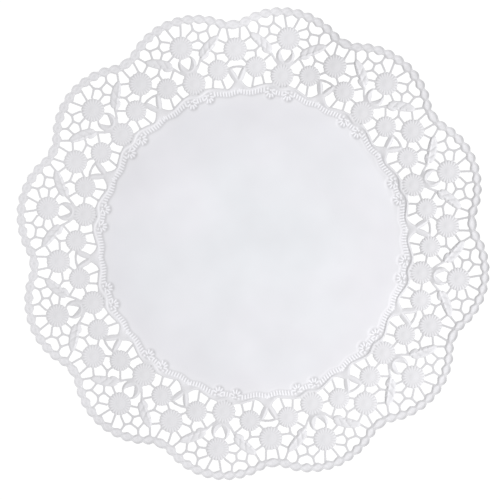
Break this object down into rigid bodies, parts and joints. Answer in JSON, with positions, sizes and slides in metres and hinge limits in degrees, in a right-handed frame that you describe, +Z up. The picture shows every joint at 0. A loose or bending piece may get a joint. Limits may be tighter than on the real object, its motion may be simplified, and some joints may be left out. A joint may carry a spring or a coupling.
{
  "type": "paper lace doily",
  "caption": "Round paper lace doily lying flat: plain middle, raised stitched border, pierced net of flowers and leaves, and a beaded, scalloped edge. Lines a plate or cake stand.",
  "frame": {"origin": "centre of the underside, on the surface that the doily lies on", "axes": "+Z up, out of the embossed face; one scallop points along +X, and the others follow every 30 degrees"},
  "size_m": [0.3198, 0.3198, 0.001],
  "materials": {
    "doily_paper": "matte, embossed, white"
  },
  "bodies": {
    "root": {"doily": "doily_paper"}
  },
  "joints": []
}
